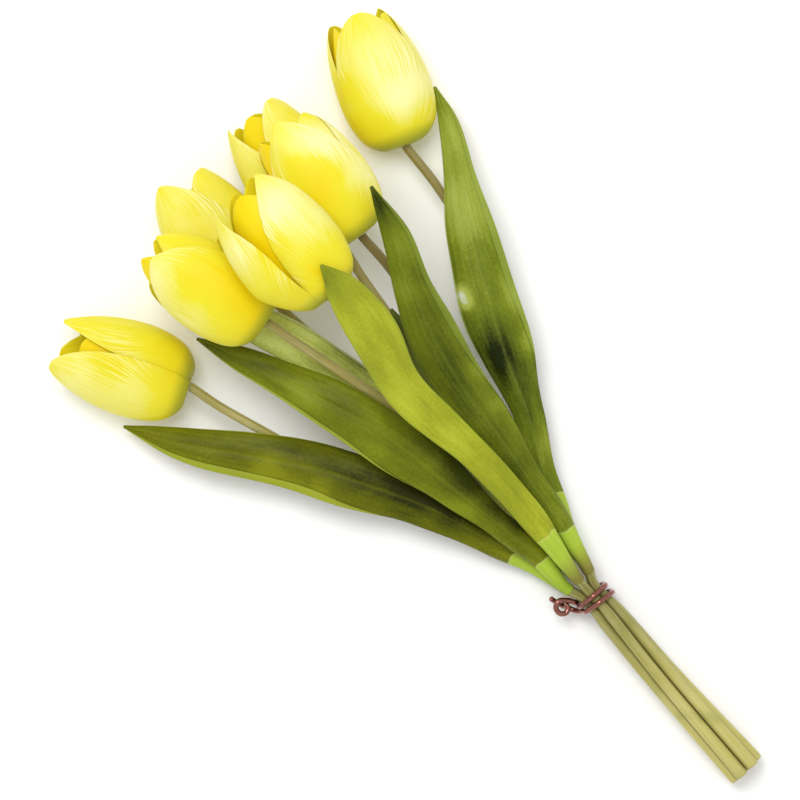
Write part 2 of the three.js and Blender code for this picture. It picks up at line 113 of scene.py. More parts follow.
softbox = bpy.data.lights.new("softbox", "AREA")
softbox.size = SOFTBOX_SIZE * MM
softbox.energy = SOFTBOX_POWER
softbox_stand = bpy.data.objects.new("softbox", softbox)
softbox_stand.location = np.array(SOFTBOX_AT) * MM
aim = -np.array(SOFTBOX_AT)
softbox_stand.rotation_euler = (
    math.atan2(math.hypot(aim[0], aim[1]), -aim[2]), 0, math.atan2(aim[1], aim[0]) - math.pi / 2)
bpy.context.collection.objects.link(softbox_stand)

lens = bpy.data.cameras.new("camera")
lens.sensor_width = SENSOR_WIDTH
lens.lens = SENSOR_WIDTH * (LENS_HEIGHT - PICTURE_LEVEL) / PICTURE_WIDTH
lens.clip_end = LENS_REACH * MM
camera = bpy.data.objects.new("camera", lens)
camera.location = (PICTURE_CENTRE + (0, 0, LENS_HEIGHT)) * MM
camera.rotation_euler = (0, 0, PICTURE_TURN)
bpy.context.collection.objects.link(camera)
bpy.context.scene.camera = camera

# Stems
# Seven smooth round stems, fleshy and fibrous. They lie six round one in the bundle, are squeezed
# together by the tie and fan out above it, each to its own bloom. The cut ends are paler than the
# olive necks, and three necks are brown.
CUT_Y = -98.0
BUNDLE_RINGS = [  # y, x and z of the middle stem, distance of the others from it, turn in degrees
    (CUT_Y, -4.2, 7.7, 5.9, 30), (-45, -2.4, 8.7, 5.1, 15), (-11, -0.3, 9.8, 4.9, 2),
    (-5, 0, 10, 4.4, 0), (4, 0, 10, 4.4, 0), (10, 0.3, 10.9, 7, 0)]
BUNDLE_SLOTS = {1: 210, 2: 150, 3: 90, 4: 30, 5: -30, 6: -90, 7: None}
STEM_WAYS = {
    1: [(-9, 30, 8), (-17, 52, 10.5), (-24, 75, 12), (-33.8, 97, 13.5), (-43.4, 120, 15), (-51.3, 146, 16.4),
        (-57.8, 168, 16.6)],
    2: [(-4.8, 30, 17), (-4.5, 52, 18.5), (-3.2, 75, 21), (-3, 97, 24.8), (-6.2, 120, 30), (-12, 148, 38),
        (-16, 166, 44.6)],
    3: [(2.8, 30, 24.2), (4.8, 52, 28), (7, 75, 35.5), (9, 97, 44), (9.4, 120, 54), (8.4, 145, 67.5),
        (8, 157, 72.8)],
    4: [(10.6, 30, 17.8), (13.5, 52, 20.6), (17.5, 75, 24.5), (21.5, 97, 30), (26, 120, 36.5),
        (31.4, 145, 43.6), (34, 160, 47.6)],
    5: [(11.3, 30, 7.6), (21, 52, 8), (33, 75, 10), (44.5, 97, 11.5), (57.8, 120, 13), (67.6, 146, 15),
        (73, 172, 16.2)],
    6: [(2, 30, 4.6), (-3, 52, 6.4), (-7.2, 75, 9), (-8.5, 97, 11.5), (-8, 120, 13.5), (-7.8, 145, 15),
        (-9.5, 167, 16.2)],
    7: [(2.4, 30, 12.8), (7.5, 52, 11.2), (11, 75, 12.4), (14, 97, 13.4), (17, 120, 14.6), (20.4, 145, 16),
        (23.8, 167, 16.7)],
}
# Neck of each bloom, its heading from +Y toward +X and its pitch, in degrees.
BLOOM_PLACES = {
    1: ((-61.7, 183.4, 16.5), -28.6, 0), 2: ((-18.7, 179.5, 48.9), -12.8, 3), 3: ((8.2, 167.6, 75.8), 4.9, 4),
    4: ((35, 178.2, 51), 7.6, 3), 5: ((75.8, 193.3, 15.5), 23, 0), 6: ((-10.7, 193.4, 16.5), 4.6, 0),
    7: ((29.1, 190.3, 16.5), 7, 0),
}
RECEPTACLE_FOOT = -0.9
FIT_GAP = 0.3
STRAIGHT_NECK = 2
STEM_STATIONS = [-98, -45, -11, -5, 4, 10, 80, 190]
STEM_RADII = [2.8, 2.4, 2.3, 2.05, 2.05, 2.1, 2.1, 1.9]
STEM_RINGS = 220
STEM_SIDES = 24
CUT_CHAMFER = 0.35
CHAMFER_SHARE = 0.15
# Reach of the painted shade along the lines where stems press together.
CONTACT_SHADE_REACH = 0.6
CUT_STRAW = "#bab161"
# From the cut ends up: where along the bunch the next colour comes in, from and to, and that colour.
STEM_COLOURS = [(-60, -8, "#87823c"), (-4, 24, "#827c3b"), (30, 90, "#978a42")]
NECK_BROWN = {3: 0.9, 4: 0.8, 5: 0.45}
NECK_STARTS = (40, 110)


def bloom_frame(bloom):
    """Base of a bloom and its axes: along it, to its right seen from above, and up through it."""
    base, heading, pitch = BLOOM_PLACES[bloom]
    h = math.radians(heading)
    p = math.radians(pitch)
    axis = np.array([math.sin(h) * math.cos(p), math.cos(h) * math.cos(p), math.sin(p)])
    right = np.array([math.cos(h), -math.sin(h), 0])
    return np.array(base, float), axis, right, np.cross(right, axis)


def smooth_way(points, t):
    """Points at t, from 0 to 1, on the centripetal Catmull-Rom curve: each span is the cubic through
    its two points whose tangents weigh the neighbours by the square roots of the chords."""
    points = np.asarray(points, float)
    padded = np.vstack([2 * points[0] - points[1], points, 2 * points[-1] - points[-2]])
    place = np.clip(np.asarray(t, float), 0, 1) * (len(points) - 1)
    span = np.minimum(place.astype(int), len(points) - 2)
    w = (place - span)[:, None]
    a, b, c, d = (padded[span + k] for k in range(4))
    first, middle, last = (np.sqrt(np.linalg.norm(q - p, axis=1))[:, None]
                           for p, q in ((a, b), (b, c), (c, d)))
    enter = ((b - a) / first - (c - a) / (first + middle) + (c - b) / middle) * middle
    leave = ((c - b) / middle - (d - b) / (middle + last) + (d - c) / last) * middle
    return b + enter * w + (3 * (c - b) - 2 * enter - leave) * w**2 + (2 * (b - c) + enter + leave) * w**3


def directions(points):
    """Unit tangents of a way, by central differences."""
    slope = np.gradient(points, axis=0)
    return slope / np.linalg.norm(slope, axis=1, keepdims=True)


def stem_points(stem):
    """The points that a stem runs through, from its cut end to just below its bloom."""
    points = []
    for y, x, z, pitch, turn in BUNDLE_RINGS:
        slot = BUNDLE_SLOTS[stem]
        angle = math.radians((slot or 0) + turn)
        reach = 0 if slot is None else pitch
        points.append((x + reach * math.cos(angle), y, z + reach * math.sin(angle)))
    base, axis, _, _ = bloom_frame(stem)
    neck = [tuple(base + along * axis) for along in (-STRAIGHT_NECK, RECEPTACLE_FOOT - FIT_GAP)]
    return points + STEM_WAYS[stem] + neck


def tube(way, radius, sides):
    """A round skin along a way: rings of the given radius, square to it, carried on without twist.
    Its marks are the angle round the ring in turns, the length run in metres, and two zeros."""
    tangent = directions(way)
    side = np.cross(tangent[0], (0.0, 0.3, 1.0))
    across = np.empty_like(way)
    for i, t in enumerate(tangent):
        side = side - t * (side @ t)
        side /= np.linalg.norm(side)
        across[i] = side
    up = np.cross(tangent, across)
    angle = np.arange(sides) / sides * 2 * np.pi
    radius = np.broadcast_to(radius, len(way))[:, None, None]
    ring = np.cos(angle)[None, :, None] * across[:, None] + np.sin(angle)[None, :, None] * up[:, None]
    vertices = way[:, None] + ring * radius
    run = np.concatenate([[0], np.cumsum(np.linalg.norm(np.diff(way, axis=0), axis=1))]) * MM
    return vertices, np.stack(np.broadcast_arrays(angle[None] / (2 * np.pi), run[:, None], 0.0, 0.0), axis=-1)


def wrap_faces(rows, loop):
    """Quads of a tube of rows of closed loops, with one flat face on each end, facing outwards."""
    i, j = np.meshgrid(np.arange(rows - 1), np.arange(loop), indexing="ij")
    k = (j + 1) % loop
    quads = np.stack([i * loop + j, i * loop + k, (i + 1) * loop + k, (i + 1) * loop + j], axis=-1)
    first = list(range(loop))[::-1]
    last = [(rows - 1) * loop + n for n in range(loop)]
    return quads.reshape(-1, 4).tolist() + [first, last]


def make_piece(name, skins, material, node):
    """Joins skins, each a grid of closed loops with four marks a point, in one mesh that replaces a
    node. The first three marks become the vector attribute place and the last the number tone."""
    vertices, marks, faces = [], [], []
    count = 0
    for grid, mark in skins:
        rows, loop = grid.shape[:2]
        faces += [[count + v for v in face] for face in wrap_faces(rows, loop)]
        vertices.append(grid.reshape(-1, 3))
        marks.append(np.broadcast_to(mark, (rows, loop, 4)).reshape(-1, 4))
        count += rows * loop
    marks = np.concatenate(marks).astype("f4")
    mesh = bpy.data.meshes.new(name)
    mesh.from_pydata(((np.concatenate(vertices) + TIE_AT) * MM).tolist(), [], faces)
    mesh.polygons.foreach_set("use_smooth", np.ones(len(faces), bool))
    mesh.attributes.new("place", "FLOAT_VECTOR", "POINT").data.foreach_set("vector", marks[:, :3].ravel())
    mesh.attributes.new("tone", "FLOAT", "POINT").data.foreach_set("value", marks[:, 3])
    mesh.materials.append(material)
    piece = bpy.data.objects.new(name, mesh)
    bpy.context.collection.objects.link(piece)
    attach(piece, "root")
    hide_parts(node)
    return piece


def smoothstep(low, high, x):
    """0 below low, 1 above high, and 3t² - 2t³ between."""
    t = np.clip((x - low) / (high - low), 0, 1)
    return t * t * (3 - 2 * t)


def closeness(stem, vertices):
    """exp(-gap / reach) at each point, for the gap to the nearest other stem at the same Y."""
    y = vertices[..., 1]
    gaps = []
    for other, way in stem_lines.items():
        if other != stem:
            x, z = (np.interp(y, way[:, 1], way[:, k]) for k in (0, 2))
            distance = np.hypot(vertices[..., 0] - x, vertices[..., 2] - z)
            gaps.append(distance - np.interp(y, STEM_STATIONS, STEM_RADII))
    return np.exp(-np.min(gaps, axis=0).clip(0) / CONTACT_SHADE_REACH)


def stem_skin():
    """Waxy tulip stem: straw green at the cut ends, greener by the tie and olive brown at the necks,
    with long faint fibres and a soft gloss. The fibres are about 0.8 mm apart, coarser than real ones
    so that they show. The mark Z of place browns a neck, and tone paints shade as a dark line where
    two stems press together."""
    material, tree, shader = new_material("waxy_stem", Roughness=0.36, Subsurface_Weight=0.1,
                                          Specular_IOR_Level=0.3)
    shader.inputs["Subsurface Radius"].default_value = (0.002, 0.0018, 0.0006)
    spot = add_node(tree, "ShaderNodeTexCoord")
    split = add_node(tree, "ShaderNodeSeparateXYZ", {0: spot.outputs["Object"]})
    colour = linear(CUT_STRAW)
    for low, high, above in STEM_COLOURS:
        part = add_node(tree, "ShaderNodeMapRange", {0: split.outputs["Y"], 1: (TIE_AT[1] + low) * MM,
                                                     2: (TIE_AT[1] + high) * MM})
        colour = add_node(tree, "ShaderNodeMix", {0: part.outputs[0], 6: colour, 7: linear(above)},
                          data_type="RGBA").outputs[2]
    place = add_node(tree, "ShaderNodeAttribute", attribute_name="place")
    fibres = add_node(tree, "ShaderNodeMapping", {0: place.outputs["Vector"], 3: (17.0, 40.0, 1.0)})
    streaks = add_node(tree, "ShaderNodeTexNoise", {"Vector": fibres.outputs[0], "Scale": 1.0, "Detail": 3.0})
    patches = add_node(tree, "ShaderNodeTexNoise", {"Vector": spot.outputs["Object"], "Scale": 70.0})
    tint = add_node(tree, "ShaderNodeMapRange", {0: streaks.outputs["Fac"], 1: 0.4, 2: 0.7, 3: 0.0, 4: 0.35})
    pale = add_node(tree, "ShaderNodeMix", {0: tint.outputs[0], 6: colour, 7: linear("#d3cf9a")},
                    data_type="RGBA")
    blotch = add_node(tree, "ShaderNodeMapRange", {0: patches.outputs["Fac"], 1: 0.5, 2: 0.75, 3: 0.0,
                                                   4: 0.45})
    blotched = add_node(tree, "ShaderNodeMix", {0: blotch.outputs[0], 6: pale.outputs[2],
                                                7: linear("#7d8438")}, data_type="RGBA")
    tone = add_node(tree, "ShaderNodeAttribute", attribute_name="tone")
    # Painted shade: darker where two stems press together.
    contact_shade = add_node(tree, "ShaderNodeMath", {0: tone.outputs["Fac"], 1: 0.75}, operation="MULTIPLY")
    marks = add_node(tree, "ShaderNodeSeparateXYZ", {0: place.outputs["Vector"]})
    browned = add_node(tree, "ShaderNodeMix", {0: marks.outputs["Z"], 6: blotched.outputs[2],
                                               7: linear("#6b5a2c")}, data_type="RGBA")
    contact_shaded = add_node(tree, "ShaderNodeMix", {0: contact_shade.outputs[0], 6: browned.outputs[2],
                                               7: linear("#4a3c18")}, data_type="RGBA")
    bump = add_node(tree, "ShaderNodeBump", {"Height": streaks.outputs["Fac"], "Distance": 0.00012,
                                             "Strength": 0.5})
    tree.links.new(contact_shaded.outputs[2], shader.inputs["Base Color"])
    tree.links.new(bump.outputs[0], shader.inputs["Normal"])
    return material


waxy_stem = stem_skin()
stem_lines = {stem: smooth_way(stem_points(stem), np.linspace(0, 1, STEM_RINGS)) for stem in BUNDLE_SLOTS}
for stem, way in stem_lines.items():
    # The second ring moves next to the first, smaller one, which gives the cut a narrow chamfer.
    way[1] = way[0] + (way[2] - way[0]) * CHAMFER_SHARE
    radius = np.interp(way[:, 1], STEM_STATIONS, STEM_RADII)
    radius[0] -= CUT_CHAMFER
    skin, marks = tube(way, radius, STEM_SIDES)
    marks[..., 2] = NECK_BROWN.get(stem, 0) * smoothstep(*NECK_STARTS, skin[..., 1])
    # Tone marks how close another stem is, for the painted shade between stems.
    marks[..., 3] = closeness(stem, skin)
    make_piece(f"tulip_stem_{stem}", [(skin, marks)], waxy_stem, f"stem_{stem}")

# Leaves
# Each leaf is one long blade. A thin lime sheath hugs the stem just above the tie and widens upward,
# and at its top the thicker green blade begins with a pale lip and opens to a waved channel. A crease
# runs inside each edge, and the rim beyond it is rolled up and paler.
LEAF_THICK = 0.62
SHEATH_THICK = 0.45
SHEATH_FOOT_THICK = 0.2
SHEATH_START = 8.5
SHEATH_WRAP = 5.0
BLADE_WRAP = 0.9
SHEATH_RADIUS = 2.98
# The sheath's lowest rings: run from its start, height over the stem and reach round it to each side.
SHEATH_RINGS = [(0, 2.4, 7.1), (5, 2.65, 7.7),
                (12, SHEATH_RADIUS, SHEATH_RADIUS * (SHEATH_WRAP + BLADE_WRAP) / 2)]
UNROLL_LENGTH = 30.0
WAVE_LENGTH = 46.0
WAVE_HEIGHT = 1.1
WAVE_LAG = 1.6
RIB_DEPTH = 0.35
CREASE_DEPTH = 0.4
RIM_LIFT = 0.4
# The stretches of a leaf over which its rib's groove and its waves come in and its creases move in
# from the edge. Up to there a crease lies at EDGE_CREASE of the half width.
RIB_STARTS = (20, 60)
WAVES_START = (45, 80)
CREASES_START = (85, 130)
EDGE_CREASE = 0.97
LEAF_TONE = 0.6
LEAF_ROWS = 170
LEAF_COLUMNS = 44
# Wave phase, height of the sheath's top, colour of its root and four colours of the blade, where
# across the left and right half the crease lies, soft darker and paler patches as x, y, spread and
# change of tone, and the rib as x, y, z and the widths left and right of it. The darker patches are
# mostly painted shade where neighbouring leaves and blooms lie over the leaf, the paler ones painted
# sheen, with some of the leaf's own mottling among them.
LEAVES = {
    1: dict(phase=0.3, lip=37, root="#93ab34", deep="#2a2e04", body="#70740e", pale="#90941e", rim="#a3ae36",
            creases=(0.7, 0.95),
            patches=[(-66, 153, 7, -0.1), (-57, 143, 8, -0.2), (-49, 131, 8, -0.25), (-42, 118, 9, -0.3),
                     (-35, 105, 9, -0.4), (-29, 93, 9, -0.5), (-24, 81, 9, -0.6), (-18, 68, 8, -0.6),
                     (-12, 56, 8, -0.4), (-62, 135, 7, 0.35), (-51, 113, 6, 0.25), (-78, 168, 9, -0.15)],
            rib=[(-9.2, 30, 11.8, 8.7, 8.7), (-16.6, 52, 15.5, 6.6, 6), (-24, 76, 19.5, 9.6, 8.8),
                 (-33.5, 96, 21.5, 11.6, 10.5), (-47, 121, 22, 12, 12.2), (-63, 144, 21, 10, 9.9),
                 (-81.5, 169.5, 17, 6.8, 7.4), (-93, 190, 11, 0.5, 0.5)]),
    2: dict(phase=1.7, lip=26, root="#93ab34", deep="#343a08", body="#727a14", pale="#8c9628", rim="#a4ae3c",
            creases=(0.86, 0.96),
            patches=[(-43, 190, 12, -0.35), (-31, 168, 10, -0.2), (-28, 148, 8, 0.2), (-8, 124, 8, 0.1),
                     (-18, 130, 9, -0.15), (-2, 96, 9, -0.5), (-2, 82, 9, -0.6), (-3, 70, 8, -0.6),
                     (-1, 57, 7, -0.6), (-1, 45, 7, -0.6), (-18, 100, 9, -0.1), (-15, 66, 6, 0.15)],
            rib=[(-5, 30, 20.8, 8.7, 8.7), (-7.8, 52, 25.4, 6.1, 6.5), (-11, 74, 29.6, 8.4, 10.6),
                 (-13.7, 97, 33.8, 11.6, 12.6), (-18.4, 120, 36.6, 12.6, 11.2), (-27, 147, 35.5, 8.4, 10),
                 (-37, 174, 32, 5.3, 6.3), (-44.5, 194.5, 30, 0.5, 0.5)]),
    3: dict(phase=0.8, lip=33, root="#827c3b", deep="#6f771c", body="#9fa628", pale="#bcc43c", rim="#a9b240",
            creases=(0.95, 0.95),
            patches=[(13, 174, 8, -0.45), (15, 160, 6, -0.15), (9, 150, 8, 0.05), (-1, 116, 9, 0.25),
                     (8, 100, 8, -0.1), (2, 92, 8, 0.15), (6, 60, 12, -0.2)],
            rib=[(3, 30, 28.2, 8.7, 8.7), (5.6, 52, 33, 7.1, 6), (6, 75, 41, 7.2, 6.8),
                 (4.4, 97, 50, 8.3, 7.6), (4.8, 120, 62, 10.5, 8.1), (8.8, 145, 79, 8.6, 11.8),
                 (12.5, 165, 91, 6.4, 8.6), (13.9, 178.4, 96, 0.6, 0.6)]),
    4: dict(phase=2.4, lip=29, root="#827c3b", deep="#2b3306", body="#707c1a", pale="#8c9c38", rim="#7d8b36",
            creases=(0.95, 0.72),
            patches=[(49, 181, 10, -0.55), (46, 162, 6, 0.15), (33, 149, 7, 0.25), (40, 148, 5, -0.2),
                     (34, 137, 7, -0.2), (29, 127, 8, -0.3), (24, 116, 8, -0.3), (20, 104, 8, -0.3),
                     (17, 92, 8, -0.3), (15, 78, 8, -0.25), (16, 62, 7, -0.3), (42, 134, 5, 0.2),
                     (37, 120, 5, 0.25), (31, 104, 5, 0.3), (26, 88, 5, 0.25)],
            rib=[(11.2, 30, 21.6, 8.7, 8.7), (14.5, 52, 26, 7, 6.2), (18, 75, 31.5, 8.5, 9),
                 (20.4, 97, 38.5, 10.5, 11.2), (25.4, 120, 47.5, 11.6, 11), (34, 145, 57.5, 8, 8.8),
                 (44, 166, 66.5, 6, 6.4), (51.2, 188, 74, 0.6, 0.6)]),
    5: dict(phase=0.0, lip=44, root="#827c3b", deep="#1f2604", body="#788620", pale="#a6b04e", rim="#8c9b41",
            creases=(0.93, 0.74),
            patches=[(93, 182, 13, 0.3), (79, 160, 11, 0.35), (71, 149, 8, 0.25), (62, 135, 9, -0.1),
                     (40, 106, 10, -0.33), (45, 99, 10, -0.36), (48, 114, 8, -0.2), (39, 88, 11, -0.32),
                     (34, 74, 9, -0.22), (55, 96, 6, 0.4), (64, 114, 6, 0.3), (50, 84, 5, 0.2),
                     # The last two patches paint a glint.
                     (33, 60, 7, 0.1), (47.9, 131, 2.9, 1.75), (47.2, 127, 2.5, 1.3)],
            rib=[(11.5, 30, 11.4, 8.7, 8.7), (21.3, 52, 13, 5.6, 5.4), (33.7, 75, 17, 6.6, 7.6),
                 (42.8, 97, 21, 10, 12.2), (54.3, 120, 25, 13.2, 13.2), (68, 145, 26, 11, 10.8),
                 (81, 166, 23.5, 6.6, 8), (94.6, 187, 16, 4.2, 4.6), (101.6, 202, 9.4, 0.5, 0.5)]),
    6: dict(phase=2.9, lip=30, root="#827c3b", deep="#45490f", body="#ccd66a", pale="#dfe69a", rim="#bcc48c",
            creases=(0.95, 0.9),
            patches=[(-22, 172, 10, 0.1), (-11, 165, 9, 0.15), (1, 152, 9, -0.6), (4, 138, 10, -0.6)],
            rib=[(2, 30, 8.2, 8.7, 8.7), (-3.4, 52, 11.4, 7, 7), (-7, 75, 15.2, 9, 8.5),
                 (-8, 97, 19.4, 9.5, 9.5), (-9.6, 120, 22.6, 10, 10), (-13.3, 145, 25.5, 9.5, 10.6),
                 (-18, 166, 28, 8.4, 9.8), (-24, 183, 29.4, 6.6, 8), (-33.6, 198, 28.5, 0.6, 0.6)]),
    7: dict(phase=1.2, lip=30, root="#827c3b", deep="#3c4312", body="#6f7a30", pale="#98a060", rim="#a4ab5c",
            creases=(0.95, 0.95), patches=[(20, 140, 10, -0.4)],
            rib=[(2.6, 30, 16, 7.4, 7.4), (8, 52, 15.8, 6.5, 6.5), (11.5, 75, 19.5, 8, 8),
                 (13.6, 97, 21.8, 8, 8), (17.4, 120, 23.6, 7, 7), (22.7, 147, 25, 0.6, 0.6)]),
}


def closed_blade(middle, half_thickness, first_marks, back_marks):
    """Gives a grid of middle points a skin on both sides. A point lies half the thickness times the
    square root of sin(angle) off the middle, so that the rim is round, where the angle goes from 0 to
    pi across the blade. The loop runs out along the first side and back along the other."""
    normal = np.cross(np.gradient(middle, axis=1), np.gradient(middle, axis=0))
    normal /= np.linalg.norm(normal, axis=2, keepdims=True)
    angle = np.linspace(0, np.pi, middle.shape[1])
    offset = normal * (half_thickness * np.sqrt(np.sin(angle).clip(0)))[..., None]
    back = slice(-2, 0, -1)
    grid = np.concatenate([middle + offset, (middle - offset)[:, back]], axis=1)
    return grid, np.concatenate([first_marks, back_marks[:, back]], axis=1)


def soft_patches(points, patches):
    """Sum of change times exp(-(distance / spread)²) over the patches, seen from above."""
    x, y = points[..., 0], points[..., 1]
    return sum(change * np.exp(-((x - at_x) ** 2 + (y - at_y) ** 2) / spread**2)
               for at_x, at_y, spread, change in patches)


def leaf_blade(leaf, phase, lip, creases, patches, rib, **colours):
    """A leaf about its middle surface. Across, that is an arc on the rib, of the radius at which the
    full width spans the wrap angle, and the wrap falls with exp(-(run / unroll)²) from the sheath to
    the blade. The free blade also waves, height times sin(2 pi run / length), more toward its edges.
    Its marks are u across, the height along the leaf, the way out to the crease and the tone."""
    stem = stem_lines[leaf]
    points = []
    reaches = []
    for along, height, side in SHEATH_RINGS:
        y = SHEATH_START + along
        points.append([np.interp(y, stem[:, 1], stem[:, k]) for k in range(3)])
        points[-1][2] += height
        reaches.append((side, side, y))
    points += [(x, y, z) for x, y, z, _, _ in rib]
    reaches += [(left, right, y) for _, y, _, left, right in rib]
    v = np.linspace(0, 1, LEAF_ROWS)
    u = -np.cos(np.linspace(0, np.pi, LEAF_COLUMNS + 1))[None, :]
    rib_line = smooth_way(points, v)
    sides = smooth_way(reaches, v)
    forward = directions(rib_line)
    across = np.cross(forward, (0, 0, 1))
    across /= np.linalg.norm(across, axis=1, keepdims=True)
    up = np.cross(across, forward)
    run = (rib_line[:, 1] - SHEATH_START)[:, None]
    wrap = BLADE_WRAP + SHEATH_WRAP * np.exp(-((run / UNROLL_LENGTH) ** 2))
    width = (sides[:, 0] + sides[:, 1])[:, None]
    bend = width / wrap
    angle = u * np.where(u < 0, sides[:, :1], sides[:, 1:2]) / bend
    normal = up[:, None] * np.cos(angle)[..., None] + across[:, None] * np.sin(angle)[..., None]
    free = smoothstep(*WAVES_START, run)
    turned = 2 * np.pi * run / WAVE_LENGTH + phase + np.where(u > 0, WAVE_LAG, 0)
    ripple = np.sin(turned) * np.minimum(1, width / 20)
    groove = RIB_DEPTH * np.exp(-((u / 0.1) ** 2)) * smoothstep(*RIB_STARTS, run)
    settled = smoothstep(*CREASES_START, rib_line[:, 1:2])
    left, right = (EDGE_CREASE - (EDGE_CREASE - crease) * settled for crease in creases)
    edge = np.maximum(-u / left, u / right)
    roll = RIM_LIFT * smoothstep(1.02, 1.2, edge) - CREASE_DEPTH * np.exp(-(((edge - 1) / 0.06) ** 2))
    lift = WAVE_HEIGHT * free * np.abs(u) ** 1.5 * ripple - groove + roll * free * np.minimum(1, width / 12)
    middle = rib_line[:, None] + (up * -bend)[:, None] + normal * (bend + lift)[..., None]
    height = rib_line[:, 1:2] + 1.6 * u**2 + 0.5 * np.sin(4 * u + 3 * phase) + 0.25 * np.sin(9 * u + phase)
    foot = smoothstep(SHEATH_START, SHEATH_START + 12, height)
    step = smoothstep(lip - 0.4, lip + 0.4, height)
    thickness = SHEATH_FOOT_THICK + (SHEATH_THICK - SHEATH_FOOT_THICK) * foot
    thickness = thickness + (LEAF_THICK - SHEATH_THICK) * step
    # The patches paint shade where neighbours lie over the leaf and sheen where it is paler.
    tone = LEAF_TONE + soft_patches(middle, patches)
    marks = np.stack(np.broadcast_arrays(u, height * MM * 10, edge, tone), axis=-1)
    return closed_blade(middle, thickness / 2, marks, marks)


